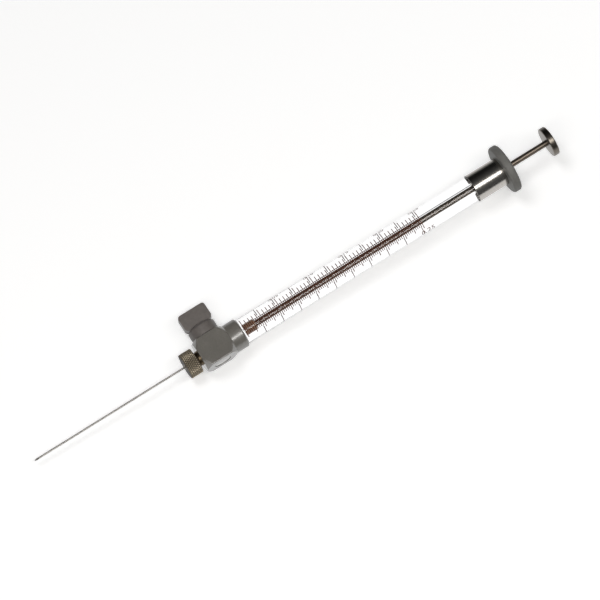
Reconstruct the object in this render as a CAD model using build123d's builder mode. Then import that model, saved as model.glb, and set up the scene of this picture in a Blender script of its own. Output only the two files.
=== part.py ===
from build123d import *

import os
from math import cos, degrees, pi, radians, sin, tan

# Gas-tight microsyringe for 250 microlitres, with a rotary shut-off valve between the barrel and
# a removable needle. X runs along the barrel from the needle to the plunger's button, +Y is the
# side of the valve's handle, and the graduations face +Z. x = 0 is the front face of the needle's
# nut, on the barrel's axis. The valve is open and the plunger is pushed home. Millimetres.

# --- Driving dimensions -----------------------------------------------------------------------

# Needle and the knurled nut that holds it
needle_length = 50.8            # in front of the nut
cannula_d = 0.51
cannula_bore_d = 0.26
cannula_root_d = 0.46           # it tapers to this where it is brazed into the hub
bevel_angle = 18.0
hub_collar_d = 1.5
hub_flange_d = 3.9
hub_flange_thickness = 0.7
nut_d = 7.8
nut_length = 3.9
nut_wall = 1.0                  # the nut's front wall, which pulls the hub back
nut_chamfer = 0.2
nut_mouth_chamfer = 0.2
knurl_count = 36                # grooves each way round
knurl_depth = 0.22
knurl_angle = 30.0              # between a groove and the barrel's axis
knurl_land = 0.04               # how far above the nut's surface the ridges would meet
nut_collar_clearance = 0.05
thread_clearance = 0.05         # between the nose and the nut, radial

# Threaded nose that the nut screws on
nose_d = 4.5
nose_gap = 1.1                  # bare nose between the nut and the valve's body
nose_chamfer = 0.2
nose_shank_d = 4.0
nose_shank_length = 2.0
needle_seal_d = 3.0
needle_seal_thickness = 0.9
needle_seal_proud = 0.1         # how far the seal stands out of the nose
seal_clearance = 0.02

# Valve
body_length = 10.2
body_width = 9.0                # across the flats of the square body, and the collar's diameter
body_edge = 0.15
collar_length = 4.1
collar_round = 0.6
turned_chamfer_angle = 45.0
rotor_d = 3.6
rotor_length = 5.45
rotor_clearance = 0.03          # between the rotor and its seat, radial
rotor_end_gap = 0.05
seat_d = 5.2
stem_d = 3.0
stem_length = 5.6               # above the rotor's shoulder
stem_clearance = 0.05
passage_d = 0.8
plug_d = 5.0
plug_length = 1.45
plug_land_length = 0.95         # the stretch that fills the bore
plug_recess = 0.1
o_ring_section_d = 0.42
o_ring_groove_depth = 0.4
o_ring_groove_width = 0.7
o_ring_groove_start = 0.6       # above the rotor's shoulder

# Valve handle
hub_d = 8.6
hub_gap = 0.1                   # between the handle and the body
hub_height = 3.5
hub_chamfer_width = 0.8
hub_chamfer_height = 0.74
tab_width = 8.9
tab_height = 5.15
tab_thickness = 4.0
tab_round = 0.8
tab_foot_height = 0.75
tab_edge = 0.2
handle_pin_d = 1.0
handle_pin_length = 8.2
handle_pin_height = 1.4         # above the hub's lower face
handle_fit = 0.01

# Glass barrel and its graduations
glass_d = 7.7
bore_d = 2.30
glass_free_length = 79.1        # between the collar and the flange's sleeve
glass_edge = 0.15
bore_floor_offset = 0.7         # from the collar to the bore's floor, which is the zero line
front_seal_thickness = 1.0
front_seal_depth = 5.1          # from the collar's rear face to the floor of the glass's socket
cement_gap = 0.025
graduated_length = 60.0
division_count = 100            # 2.5 microlitres each
mark_thickness = 0.04
mark_width = 0.2
scale_angle = 12.0              # from +Z towards -Y, where the scale's middle line lies
fine_reach = (-22.0, 25.0)      # the marks' ends, in degrees from the scale's middle line
second_reach = -42.0            # every second mark goes this far towards the handle's side
fifth_reach = 37.0              # every fifth mark goes this far the other way
tenth_reach = -56.0             # every tenth mark goes this far towards the handle's side
back_reach = 25.0               # every tenth mark is repeated on the back, this far each way

# Rear end
sleeve_d = 8.6
sleeve_length = 10.0
spigot_d = 8.2
spigot_length = 1.6
sleeve_edge = 0.12
flange_d = 15.0
flange_thickness = 2.6
flange_round = 0.8
rear_washer_thickness = 0.6
guide_depth = 0.9               # how far the glass stops short of the flange's front face
guide_nose_d = 4.0
guide_nose_recess = 0.1
rod_clearance = 0.04

# Plunger
rod_d = 1.8
rod_free_length = 13.0          # between the flange and the button
button_d = 9.1
button_thickness = 1.9
button_round = 0.4
button_socket_depth = 1.2
tip_length = 3.7
tip_clearance = 0.02            # between the tip and the bore, radial
tip_front_gap = 0.03
stud_d = 1.1
stud_length = 2.7
barb_d = 1.5
barb_length = 0.5

# --- Places worked out from the sizes above ---------------------------------------------------

nose_front_x = nut_wall + hub_flange_thickness + needle_seal_proud
hub_rear_x = nut_wall + hub_flange_thickness
body_front_x = nut_length + nose_gap
body_rear_x = body_front_x + body_length
collar_rear_x = body_rear_x + collar_length
valve_x = (body_front_x + body_rear_x) / 2
body_half = body_width / 2
nose_rear_x = body_front_x + nose_shank_length
socket_floor_x = collar_rear_x - front_seal_depth
glass_front_x = socket_floor_x + front_seal_thickness
zero_x = collar_rear_x + bore_floor_offset
sleeve_front_x = collar_rear_x + glass_free_length
flange_front_x = sleeve_front_x + sleeve_length
flange_rear_x = flange_front_x + flange_thickness
spigot_rear_x = flange_front_x + spigot_length
glass_rear_x = flange_front_x - guide_depth
guide_front_x = glass_rear_x + rear_washer_thickness
button_front_x = flange_rear_x + rod_free_length
button_rear_x = button_front_x + button_thickness
tip_front_x = zero_x + tip_front_gap
tip_rear_x = tip_front_x + tip_length
stud_front_x = tip_rear_x - stud_length
plug_inner_y = -body_half + plug_recess + plug_length
rotor_foot_y = plug_inner_y + rotor_end_gap
shoulder_y = rotor_foot_y + rotor_length
rotor_bore_top_y = shoulder_y + rotor_end_gap
stem_top_y = shoulder_y + stem_length
groove_y = shoulder_y + o_ring_groove_start
hub_foot_y = body_half + hub_gap
hub_top_y = hub_foot_y + hub_height
pin_y = hub_foot_y + handle_pin_height
glass_r = glass_d / 2
bore_r = bore_d / 2
passage_r = passage_d / 2
rod_r = rod_d / 2
division_pitch = graduated_length / division_count

os.makedirs("parts", exist_ok=True)


def save(part, name):
    """Label a finished piece and write it as its own STEP file."""
    part.label = name
    export_step(part, f"parts/{name}.step")


# --- Needle -----------------------------------------------------------------------------------

# Steel tube with a ground bevel that opens upwards; its tapered root ends flush with the hub.
bevel_run = cannula_d / tan(radians(bevel_angle))
with BuildPart() as needle_cannula:
    with BuildSketch():
        with BuildLine():
            Polyline(
                (-needle_length, cannula_bore_d / 2),
                (-needle_length, cannula_d / 2),
                (0, cannula_d / 2),
                (hub_rear_x, cannula_root_d / 2),
                (hub_rear_x, cannula_bore_d / 2),
                close=True,
            )
        make_face()
    revolve(axis=Axis.X)
    with BuildSketch(Plane.XZ):
        with BuildLine():
            Polyline(
                (-needle_length, -cannula_d / 2),
                (-needle_length + bevel_run, cannula_d / 2),
                (-needle_length + bevel_run, cannula_d),
                (-needle_length - cannula_d, cannula_d),
                (-needle_length - cannula_d, -cannula_d / 2),
                close=True,
            )
        make_face()
    extrude(amount=cannula_d, both=True, mode=Mode.SUBTRACT)
save(needle_cannula.part, "needle_cannula")

# Turned hub: a collar that shows in the nut's front hole, and the flange that the nut clamps.
with BuildPart() as needle_hub:
    with BuildSketch():
        with BuildLine():
            Polyline(
                (0, cannula_d / 2),
                (0, hub_collar_d / 2),
                (nut_wall, hub_collar_d / 2),
                (nut_wall, hub_flange_d / 2),
                (hub_rear_x, hub_flange_d / 2),
                (hub_rear_x, cannula_root_d / 2),
                close=True,
            )
        make_face()
    revolve(axis=Axis.X)
save(needle_hub.part, "needle_hub")

# Cap nut: a front wall with a hole for the hub's collar, and a threaded cavity open to the rear.
# Two sets of grooves, one turned to the left and one to the right, leave its diamond knurl.
nut_r = nut_d / 2
nut_cavity_r = nose_d / 2 + thread_clearance
knurl_turn = degrees(nut_length * tan(radians(knurl_angle)) / nut_r)
knurl_points = []
for i in range(2 * knurl_count):
    knurl_r = nut_r - knurl_depth if i % 2 else nut_r + knurl_land
    knurl_points.append((knurl_r * cos(pi * i / knurl_count), knurl_r * sin(pi * i / knurl_count)))
with BuildSketch(Plane.YZ) as knurl_outline:
    with BuildLine():
        Polyline(knurl_points, close=True)
    make_face()
with BuildPart() as needle_nut:
    with BuildSketch():
        with BuildLine():
            Polyline(
                (0, hub_collar_d / 2 + nut_collar_clearance),
                (0, nut_r - nut_chamfer),
                (nut_chamfer, nut_r),
                (nut_length - nut_chamfer, nut_r),
                (nut_length, nut_r - nut_chamfer),
                (nut_length, nut_cavity_r + nut_mouth_chamfer),
                (nut_length - nut_mouth_chamfer, nut_cavity_r),
                (nut_wall, nut_cavity_r),
                (nut_wall, hub_collar_d / 2 + nut_collar_clearance),
                close=True,
            )
        make_face()
    revolve(axis=Axis.X)
    for turn in (knurl_turn, -knurl_turn):
        ridges = Solid.extrude_linear_with_rotation(
            knurl_outline.sketch.faces()[0], (0, 0, 0), (nut_length, 0, 0), turn,
        )
        add(ridges, mode=Mode.INTERSECT)
save(needle_nut.part, "needle_nut")

# Metal nose: screwed into the valve's body, with a recess in front for the needle's seal.
recess_floor_x = hub_rear_x + needle_seal_thickness
recess_r = needle_seal_d / 2 + seal_clearance
with BuildPart() as threaded_nose:
    with BuildSketch():
        with BuildLine():
            Polyline(
                (nose_front_x, recess_r),
                (nose_front_x, nose_d / 2 - nose_chamfer),
                (nose_front_x + nose_chamfer, nose_d / 2),
                (body_front_x, nose_d / 2),
                (body_front_x, nose_shank_d / 2),
                (nose_rear_x, nose_shank_d / 2),
                (nose_rear_x, passage_r),
                (recess_floor_x, passage_r),
                (recess_floor_x, recess_r),
                close=True,
            )
        make_face()
    revolve(axis=Axis.X)
save(threaded_nose.part, "threaded_nose")

# Disc of soft sealing material that the hub is clamped against.
with BuildPart() as needle_seal:
    with BuildSketch(Plane.YZ.offset(hub_rear_x)):
        Circle(needle_seal_d / 2)
        Circle(passage_r, mode=Mode.SUBTRACT)
    extrude(amount=needle_seal_thickness)
save(needle_seal.part, "needle_seal")

# --- Valve ------------------------------------------------------------------------------------

# Square block whose two ends are turned to a cone, with a round collar behind for the glass.
# A bore along Y takes the seat and the rotor from below; the stem leaves through the top.
corner_r = body_half * 1.5
turned_run = (corner_r - body_half) / tan(radians(turned_chamfer_angle))
with BuildPart() as valve_body:
    with BuildSketch(Plane.YZ.offset(body_front_x)):
        Rectangle(body_width, body_width)
    extrude(amount=body_length)
    chamfer(valve_body.edges().filter_by(Axis.X), length=body_edge)
    with BuildSketch():
        with BuildLine():
            Polyline(
                (body_front_x, 0),
                (body_front_x, body_half),
                (body_front_x + turned_run, corner_r),
                (body_rear_x - turned_run, corner_r),
                (body_rear_x, body_half),
                (body_rear_x, 0),
                close=True,
            )
        make_face()
    revolve(axis=Axis.X, mode=Mode.INTERSECT)
    with BuildSketch(Plane.YZ.offset(body_rear_x)):
        Circle(body_half)
    extrude(amount=collar_length)
    fillet(valve_body.faces().sort_by(Axis.X)[-1].edges(), radius=collar_round)
    with BuildSketch(Plane.YZ.offset(socket_floor_x)):
        Circle(glass_r + cement_gap)
    extrude(amount=front_seal_depth, mode=Mode.SUBTRACT)
    with BuildSketch(Plane.YZ.offset(body_front_x)):
        Circle(nose_shank_d / 2)
    extrude(amount=nose_shank_length, mode=Mode.SUBTRACT)
    with BuildSketch(Plane.YZ.offset(nose_rear_x)):
        Circle(passage_r)
    extrude(amount=socket_floor_x - nose_rear_x, mode=Mode.SUBTRACT)
    with BuildSketch(Plane.XZ.offset(body_half)):
        with Locations((valve_x, 0)):
            Circle(seat_d / 2)
    extrude(amount=-(body_half + rotor_bore_top_y), mode=Mode.SUBTRACT)
    with BuildSketch(Plane.XZ):
        with Locations((valve_x, 0)):
            Circle(stem_d / 2 + stem_clearance)
    extrude(amount=-body_width, mode=Mode.SUBTRACT)
save(valve_body.part, "valve_body")

# Soft sleeve between the body and the rotor, with a port on each side for the passage.
with BuildPart() as valve_seat:
    with BuildSketch(Plane.XZ.offset(-rotor_bore_top_y)):
        with Locations((valve_x, 0)):
            Circle(seat_d / 2 - seal_clearance)
            Circle(rotor_d / 2 + rotor_clearance, mode=Mode.SUBTRACT)
    extrude(amount=rotor_bore_top_y - plug_inner_y)
    with BuildSketch(Plane.YZ.offset(valve_x)):
        Circle(passage_r)
    extrude(amount=seat_d, both=True, mode=Mode.SUBTRACT)
save(valve_seat.part, "valve_seat")

# Rotor with its stem: a cross hole lets the sample through, a groove holds the stem's ring, and
# a second cross hole takes the handle's pin.
groove_r = stem_d / 2 - o_ring_groove_depth
with BuildPart() as valve_rotor:
    with BuildSketch():
        with BuildLine():
            Polyline(
                (valve_x, rotor_foot_y),
                (valve_x + rotor_d / 2, rotor_foot_y),
                (valve_x + rotor_d / 2, shoulder_y),
                (valve_x + stem_d / 2, shoulder_y),
                (valve_x + stem_d / 2, groove_y),
                (valve_x + groove_r, groove_y),
                (valve_x + groove_r, groove_y + o_ring_groove_width),
                (valve_x + stem_d / 2, groove_y + o_ring_groove_width),
                (valve_x + stem_d / 2, stem_top_y),
                (valve_x, stem_top_y),
                close=True,
            )
        make_face()
    revolve(axis=Axis((valve_x, 0, 0), (0, 1, 0)))
    with BuildSketch(Plane.YZ.offset(valve_x)):
        Circle(passage_r)
        with Locations((pin_y, 0)):
            Circle(handle_pin_d / 2)
    extrude(amount=rotor_d, both=True, mode=Mode.SUBTRACT)
save(valve_rotor.part, "valve_rotor")

# Sealing ring in the stem's groove.
o_ring_r = groove_r + o_ring_section_d / 2
with BuildPart() as stem_o_ring:
    with BuildSketch():
        with Locations((valve_x + o_ring_r, groove_y + o_ring_groove_width / 2)):
            Circle(o_ring_section_d / 2)
    revolve(axis=Axis((valve_x, 0, 0), (0, 1, 0)))
save(stem_o_ring.part, "stem_o_ring")

# Plug that closes the bore from below: a land fills the bore, and the rest stands free of it.
with BuildPart() as valve_end_plug:
    with BuildSketch(Plane.XZ.offset(-plug_inner_y)):
        with Locations((valve_x, 0)):
            Circle(seat_d / 2 - seal_clearance)
    extrude(amount=plug_land_length)
    with BuildSketch(Plane.XZ.offset(-plug_inner_y)):
        with Locations((valve_x, 0)):
            Circle(plug_d / 2)
    extrude(amount=plug_length)
save(valve_end_plug.part, "valve_end_plug")

# Moulded handle: a round hub that covers the stem, and a flat tab that lies along the barrel
# while the valve is open.
hub_r = hub_d / 2
waist_half = hub_r - hub_chamfer_width
tab_half = tab_width / 2
tab_top_y = hub_top_y + tab_height
with BuildPart() as valve_handle:
    with BuildSketch(Plane.XY.offset(-tab_thickness / 2)) as tab_outline:
        with BuildLine():
            Polyline(
                (valve_x - waist_half, hub_top_y),
                (valve_x - tab_half, hub_top_y + tab_foot_height),
                (valve_x - tab_half, tab_top_y),
                (valve_x + tab_half, tab_top_y),
                (valve_x + tab_half, hub_top_y + tab_foot_height),
                (valve_x + waist_half, hub_top_y),
                close=True,
            )
        make_face()
        fillet(tab_outline.vertices().group_by(Axis.Y)[-1], radius=tab_round)
    extrude(amount=tab_thickness)
    tab_rims = valve_handle.faces().filter_by(Axis.Z).edges()
    foot_edges = tab_rims.group_by(Axis.Y)[0]
    chamfer(tab_rims - foot_edges, length=tab_edge)
    with BuildSketch():
        with BuildLine():
            Polyline(
                (valve_x, hub_foot_y),
                (valve_x + hub_r, hub_foot_y),
                (valve_x + hub_r, hub_top_y - hub_chamfer_height),
                (valve_x + waist_half, hub_top_y),
                (valve_x, hub_top_y),
                close=True,
            )
        make_face()
    revolve(axis=Axis((valve_x, 0, 0), (0, 1, 0)))
    with BuildSketch(Plane.XZ.offset(-hub_foot_y)):
        with Locations((valve_x, 0)):
            Circle(stem_d / 2 + handle_fit)
    extrude(amount=-(stem_top_y + handle_fit - hub_foot_y), mode=Mode.SUBTRACT)
    with BuildSketch(Plane.YZ.offset(valve_x)):
        with Locations((pin_y, 0)):
            Circle(handle_pin_d / 2)
    extrude(amount=hub_d, both=True, mode=Mode.SUBTRACT)
save(valve_handle.part, "valve_handle")

# Cross pin through the hub and the stem.
with BuildPart() as handle_pin:
    with BuildSketch(Plane.YZ.offset(valve_x - handle_pin_length / 2)):
        with Locations((pin_y, 0)):
            Circle(handle_pin_d / 2)
    extrude(amount=handle_pin_length)
save(handle_pin.part, "handle_pin")

# --- Barrel -----------------------------------------------------------------------------------

# Soft washer between the glass and the floor of its socket.
with BuildPart() as front_seal:
    with BuildSketch(Plane.YZ.offset(socket_floor_x)):
        Circle(glass_r)
        Circle(passage_r, mode=Mode.SUBTRACT)
    extrude(amount=front_seal_thickness)
save(front_seal.part, "front_seal")

# Thick glass tube: a fine passage in front, then the measuring bore from the zero line back.
with BuildPart() as glass_barrel:
    with BuildSketch():
        with BuildLine():
            Polyline(
                (glass_front_x, passage_r),
                (glass_front_x, glass_r - glass_edge),
                (glass_front_x + glass_edge, glass_r),
                (glass_rear_x - glass_edge, glass_r),
                (glass_rear_x, glass_r - glass_edge),
                (glass_rear_x, bore_r + glass_edge),
                (glass_rear_x - glass_edge, bore_r),
                (zero_x, bore_r),
                (zero_x, passage_r),
                close=True,
            )
        make_face()
    revolve(axis=Axis.X)
save(glass_barrel.part, "glass_barrel")


def mark_spans(index):
    """The arcs of one graduation, as (start, end) in degrees from the scale's middle line."""
    start, end = fine_reach
    if index % 2 == 0:
        start = second_reach
    if index % 5 == 0:
        end = fifth_reach
    if index % 10 == 0:
        return [(tenth_reach, end), (180 - back_reach, 180 + back_reach)]
    return [(start, end)]


# Enamel lines on the glass, each a thin arc; angles turn from +Z towards -Y.
with BuildPart() as graduation_marks:
    for index in range(division_count + 1):
        mark_x = zero_x + index * division_pitch
        for start, end in mark_spans(index):
            with BuildSketch(Plane.YZ.offset(mark_x - mark_width / 2)):
                with BuildLine():
                    inner = CenterArc((0, 0), glass_r, 90 + scale_angle + start, end - start)
                    outer = CenterArc(
                        (0, 0), glass_r + mark_thickness, 90 + scale_angle + start, end - start
                    )
                    Line(inner @ 0, outer @ 0)
                    Line(inner @ 1, outer @ 1)
                make_face()
    extrude(amount=mark_width)
save(graduation_marks.part, "graduation_marks")

# --- Rear end ---------------------------------------------------------------------------------

# Polished tube cemented over the glass, with a spigot for the flange.
sleeve_bore_r = glass_r + cement_gap
with BuildPart() as flange_sleeve:
    with BuildSketch():
        with BuildLine():
            Polyline(
                (sleeve_front_x, sleeve_bore_r),
                (sleeve_front_x, sleeve_d / 2 - sleeve_edge),
                (sleeve_front_x + sleeve_edge, sleeve_d / 2),
                (flange_front_x, sleeve_d / 2),
                (flange_front_x, spigot_d / 2),
                (spigot_rear_x, spigot_d / 2),
                (spigot_rear_x, sleeve_bore_r),
                close=True,
            )
        make_face()
    revolve(axis=Axis.X)
save(flange_sleeve.part, "flange_sleeve")

# Round finger flange, with rounded rims, pressed on the sleeve's spigot.
with BuildPart() as finger_flange:
    with BuildSketch(Plane.YZ.offset(flange_front_x)):
        Circle(flange_d / 2)
    extrude(amount=flange_thickness)
    fillet(finger_flange.edges().filter_by(GeomType.CIRCLE), radius=flange_round)
    with BuildSketch(Plane.YZ.offset(flange_front_x)):
        Circle(spigot_d / 2)
    extrude(amount=spigot_length, mode=Mode.SUBTRACT)
    with BuildSketch(Plane.YZ.offset(flange_front_x)):
        Circle(guide_nose_d / 2)
    extrude(amount=flange_thickness, mode=Mode.SUBTRACT)
save(finger_flange.part, "finger_flange")

# Soft washer behind the glass.
with BuildPart() as rear_washer:
    with BuildSketch(Plane.YZ.offset(glass_rear_x)):
        Circle(glass_r)
        Circle(rod_r + rod_clearance, mode=Mode.SUBTRACT)
    extrude(amount=rear_washer_thickness)
save(rear_washer.part, "rear_washer")

# Stepped bush that guides the plunger's rod; its nose shows behind the flange.
with BuildPart() as plunger_guide:
    with BuildSketch():
        with BuildLine():
            Polyline(
                (guide_front_x, rod_r + rod_clearance),
                (guide_front_x, glass_r),
                (spigot_rear_x, glass_r),
                (spigot_rear_x, guide_nose_d / 2),
                (flange_rear_x - guide_nose_recess, guide_nose_d / 2),
                (flange_rear_x - guide_nose_recess, rod_r + rod_clearance),
                close=True,
            )
        make_face()
    revolve(axis=Axis.X)
save(plunger_guide.part, "plunger_guide")

# --- Plunger ----------------------------------------------------------------------------------

# The stud at the rod's front end: two barbs that hold the tip, as (x, radius) points. The rod
# carries it, and the tip's cavity is the same shape.
stud_r = stud_d / 2
barb_r = barb_d / 2
stud_outline = [(stud_front_x, 0), (stud_front_x, stud_r)]
for barb_index in (1, 2):
    barb_front_x = stud_front_x + (2 * barb_index - 1) * barb_length
    stud_outline += [
        (barb_front_x, stud_r),
        (barb_front_x + barb_length, barb_r),
        (barb_front_x + barb_length, stud_r),
    ]

with BuildPart() as plunger_rod:
    with BuildSketch():
        with BuildLine():
            Polyline(
                *stud_outline,
                (tip_rear_x, stud_r),
                (tip_rear_x, rod_r),
                (button_front_x + button_socket_depth, rod_r),
                (button_front_x + button_socket_depth, 0),
                close=True,
            )
        make_face()
    revolve(axis=Axis.X)
save(plunger_rod.part, "plunger_rod")

# Soft tip, turned to fit the bore and pressed over the rod's barbed stud.
tip_r = bore_r - tip_clearance
with BuildPart() as plunger_tip:
    with BuildSketch():
        with BuildLine():
            Polyline(
                (tip_front_x, 0),
                (tip_front_x, tip_r),
                (tip_rear_x, tip_r),
                (tip_rear_x, stud_r),
                *reversed(stud_outline),
                close=True,
            )
        make_face()
    revolve(axis=Axis.X)
save(plunger_tip.part, "plunger_tip")

# Polished disc for the thumb, on the end of the rod.
with BuildPart() as plunger_button:
    with BuildSketch(Plane.YZ.offset(button_front_x)):
        Circle(button_d / 2)
    extrude(amount=button_thickness)
    fillet(plunger_button.edges().filter_by(GeomType.CIRCLE), radius=button_round)
    with BuildSketch(Plane.YZ.offset(button_front_x)):
        Circle(rod_r)
    extrude(amount=button_socket_depth, mode=Mode.SUBTRACT)
save(plunger_button.part, "plunger_button")
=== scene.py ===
import math

import bmesh
import bpy
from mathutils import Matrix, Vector


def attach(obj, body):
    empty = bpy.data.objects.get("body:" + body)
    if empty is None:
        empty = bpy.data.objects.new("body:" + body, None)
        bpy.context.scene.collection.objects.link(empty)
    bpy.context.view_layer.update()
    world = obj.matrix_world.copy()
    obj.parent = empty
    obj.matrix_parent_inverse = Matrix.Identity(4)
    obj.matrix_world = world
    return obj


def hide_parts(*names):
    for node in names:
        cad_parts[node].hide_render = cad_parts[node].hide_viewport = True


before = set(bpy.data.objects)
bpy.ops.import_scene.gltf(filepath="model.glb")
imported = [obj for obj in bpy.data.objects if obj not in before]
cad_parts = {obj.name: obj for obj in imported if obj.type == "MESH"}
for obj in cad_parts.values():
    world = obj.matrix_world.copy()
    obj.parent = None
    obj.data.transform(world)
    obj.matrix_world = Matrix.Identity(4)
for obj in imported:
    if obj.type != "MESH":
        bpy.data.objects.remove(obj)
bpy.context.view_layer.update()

# --- Camera -------------------------------------------------------------------------------------
# It looks down on the scale from a little towards the needle and the end plug's side, from so far
# off that the barrel's lines stay parallel. Lengths in metres.

azimuth, elevation = math.radians(-32.6), math.radians(76.1)
camera_target, camera_distance = Vector((0.03853, -0.00103, 0.0)), 1.4404
camera_back = Vector((
    math.sin(azimuth) * math.cos(elevation),
    -math.cos(azimuth) * math.cos(elevation),
    math.sin(elevation),
))
camera = bpy.data.objects.new("camera", bpy.data.cameras.new("camera"))
bpy.context.scene.collection.objects.link(camera)
camera.data.lens = 300
camera.data.sensor_width = 36
camera.location = camera_target + camera_back * camera_distance
camera.rotation_mode = "QUATERNION"
camera.rotation_quaternion = (-camera_back).to_track_quat("-Z", "Y")
bpy.context.scene.camera = camera
bpy.context.scene.view_settings.view_transform = "Standard"

# --- Floor --------------------------------------------------------------------------------------
# A white table top. The syringe lies on a corner of the valve's body and on the flange's rim, so
# the table slopes by 1.6 degrees in the syringe's own frame.

mm = 0.001


def linear(code):
    """An sRGB hex colour as the linear colour that a shader takes."""
    channels = [int(code[i:i + 2], 16) / 255 for i in (1, 3, 5)]
    return [c / 12.92 if c <= 0.04045 else ((c + 0.055) / 1.055) ** 2.4 for c in channels] + [1.0]


def wire(node, sockets):
    """Set inputs by name or number, each to a value, a node's output or a node's first output."""
    for key, value in sockets.items():
        if isinstance(value, bpy.types.Node):
            value = value.outputs[0]
        if isinstance(value, bpy.types.NodeSocket):
            node.id_data.links.new(value, node.inputs[key])
        else:
            node.inputs[key].default_value = value


def add(tree, kind, sockets=None, **settings):
    """Add a node with its settings, and wire its inputs."""
    node = tree.nodes.new(kind)
    for key, value in settings.items():
        setattr(node, key, value)
    wire(node, sockets or {})
    return node


floor_valve_x, floor_valve_z = 5.0, -4.52
floor_flange_x, floor_flange_z = 109.7, -7.52
floor_slope = (floor_flange_z - floor_valve_z) / (floor_flange_x - floor_valve_x)
floor_reach = 2500
floor_mesh = bpy.data.meshes.new("floor")
floor_corners = [
    Vector((x, y, floor_valve_z + (x - floor_valve_x) * floor_slope)) * mm
    for x, y in (
        (-floor_reach, -floor_reach), (floor_reach, -floor_reach),
        (floor_reach, floor_reach), (-floor_reach, floor_reach),
    )
]
floor_mesh.from_pydata(floor_corners, [], [(0, 1, 2, 3)])
floor = bpy.data.objects.new("floor", floor_mesh)
bpy.context.scene.collection.objects.link(floor)

# White laminate: it reads as white to the eye and in metal and glass, and still takes a shadow.
# In a mirror it shows less of the shadow: there it is a painted glow, brighter than white near
# the syringe and painted darker towards the handle's side as shade from the wall. The rod inside
# the glass is such a mirror too: its rays pass four faces of the glass.
eye_glow, glass_glow, mirror_share, glass_faces = 0.46, 0.49, 0.85, 2.0
facing = math.radians(40)
floor_white = bpy.data.materials.new("white laminate, matt")
floor_white.use_nodes = True
tree = floor_white.node_tree
tree.nodes.clear()
path = add(tree, "ShaderNodeLightPath").outputs
slant = add(tree, "ShaderNodeCombineXYZ", {"Y": math.cos(facing), "Z": math.sin(facing)})
matt = add(tree, "ShaderNodeBsdfDiffuse", {"Color": linear("#fbfbfb"), "Normal": slant})
eye = add(tree, "ShaderNodeMath", {0: path["Is Camera Ray"], 1: eye_glow}, operation="MULTIPLY")
lift = add(tree, "ShaderNodeMath", {0: path["Is Transmission Ray"], 1: glass_glow, 2: eye},
           operation="MULTIPLY_ADD")
glow = add(tree, "ShaderNodeEmission", {"Strength": lift})
both = add(tree, "ShaderNodeAddShader", {0: matt, 1: glow})
place = add(tree, "ShaderNodeTexCoord").outputs["Object"]
across = add(tree, "ShaderNodeSeparateXYZ", {0: place}).outputs["Y"]
# Painted reflection: the glow that mirrors see, above white near the syringe, fading to dark
# across Y.
far = add(tree, "ShaderNodeMapRange", {
    "Value": across, "From Min": 10 * mm, "From Max": 45 * mm, "To Min": 1.2, "To Max": 0.12,
})
white = add(tree, "ShaderNodeEmission", {"Strength": far})
deep = add(tree, "ShaderNodeMath", {0: path["Transmission Depth"], 1: glass_faces},
           operation="SUBTRACT", use_clamp=True)
inside = add(tree, "ShaderNodeMath", {0: deep, 1: path["Glossy Depth"]}, operation="MULTIPLY")
mirror = add(tree, "ShaderNodeMath", {0: inside, 1: path["Is Glossy Ray"]},
             operation="ADD", use_clamp=True)
shine = add(tree, "ShaderNodeMath", {0: mirror, 1: mirror_share}, operation="MULTIPLY")
either = add(tree, "ShaderNodeMixShader", {0: shine, 1: both, 2: white})
add(tree, "ShaderNodeOutputMaterial", {"Surface": either})
floor_mesh.materials.append(floor_white)

# --- Light --------------------------------------------------------------------------------------
# One long soft box hangs over the table, a little towards the end plug's side, in a studio with
# dark walls. Lengths in metres.

lamp_aim = Vector((0.0375, 0, 0))


def hang(name, shape, energy, direction, distance):
    """An area lamp that hangs at a distance from the syringe and points at its middle."""
    lamp = bpy.data.objects.new(name, bpy.data.lights.new(name, "AREA"))
    bpy.context.scene.collection.objects.link(lamp)
    lamp.data.shape = shape
    lamp.data.energy = energy
    lamp.location = lamp_aim + direction * distance
    lamp.rotation_mode = "QUATERNION"
    lamp.rotation_quaternion = (-direction).to_track_quat("-Z", "Y")
    lamp.visible_camera = False
    lamp.visible_transmission = False
    return lamp


softbox_angle = math.radians(16)
softbox_from = Vector((0, -math.sin(softbox_angle), math.cos(softbox_angle)))
softbox = hang("softbox", "RECTANGLE", energy=9.4, direction=softbox_from, distance=1.0)
softbox.data.size, softbox.data.size_y = 1.6, 0.28
softbox.data.color = (1.0, 0.985, 0.955)

# A lamp from the handle's side throws the shadow towards the end plug's side. It stands in for
# light that comes from all over the room, so it isn't seen in metal.
side_angle = math.radians(22)
side_from = Vector((-0.15, math.sin(side_angle), math.cos(side_angle))).normalized()
side_lamp = hang("side_lamp", "DISK", energy=3.6, direction=side_from, distance=1.2)
side_lamp.data.size = 0.5
side_lamp.visible_glossy = False

# The room is white where the eye sees it past the table or through glass alone. Metal shows its
# darker walls, and the table gets an even fill from it.
room_seen, room_fill = 1.0, 0.15
studio = bpy.data.worlds.new("studio")
bpy.context.scene.world = studio
studio.cycles.sampling_method = "NONE"
studio.use_nodes = True
tree = studio.node_tree
tree.nodes.clear()
path = add(tree, "ShaderNodeLightPath").outputs
seen = add(tree, "ShaderNodeMath", {0: path["Is Camera Ray"], 1: path["Is Transmission Ray"]},
           operation="ADD", use_clamp=True)
bounced = add(tree, "ShaderNodeMath", {0: path["Glossy Depth"], 1: path["Diffuse Depth"]},
              operation="ADD", use_clamp=True)
alone = add(tree, "ShaderNodeMath", {0: seen, 1: bounced}, operation="SUBTRACT", use_clamp=True)
lit = add(tree, "ShaderNodeMath", {0: path["Diffuse Depth"], 1: 1.0}, operation="MINIMUM")
way = add(tree, "ShaderNodeTexCoord").outputs["Generated"]
across = add(tree, "ShaderNodeSeparateXYZ", {0: way}).outputs["Y"]
walls = add(tree, "ShaderNodeMapRange", {
    "Value": across, "From Min": 0.1, "From Max": 0.85, "To Min": 0.09, "To Max": 0.012,
})
fill = add(tree, "ShaderNodeMix", {0: lit, 2: walls, 3: room_fill})
level = add(tree, "ShaderNodeMix", {0: alone, 2: fill, 3: room_seen})
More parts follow.
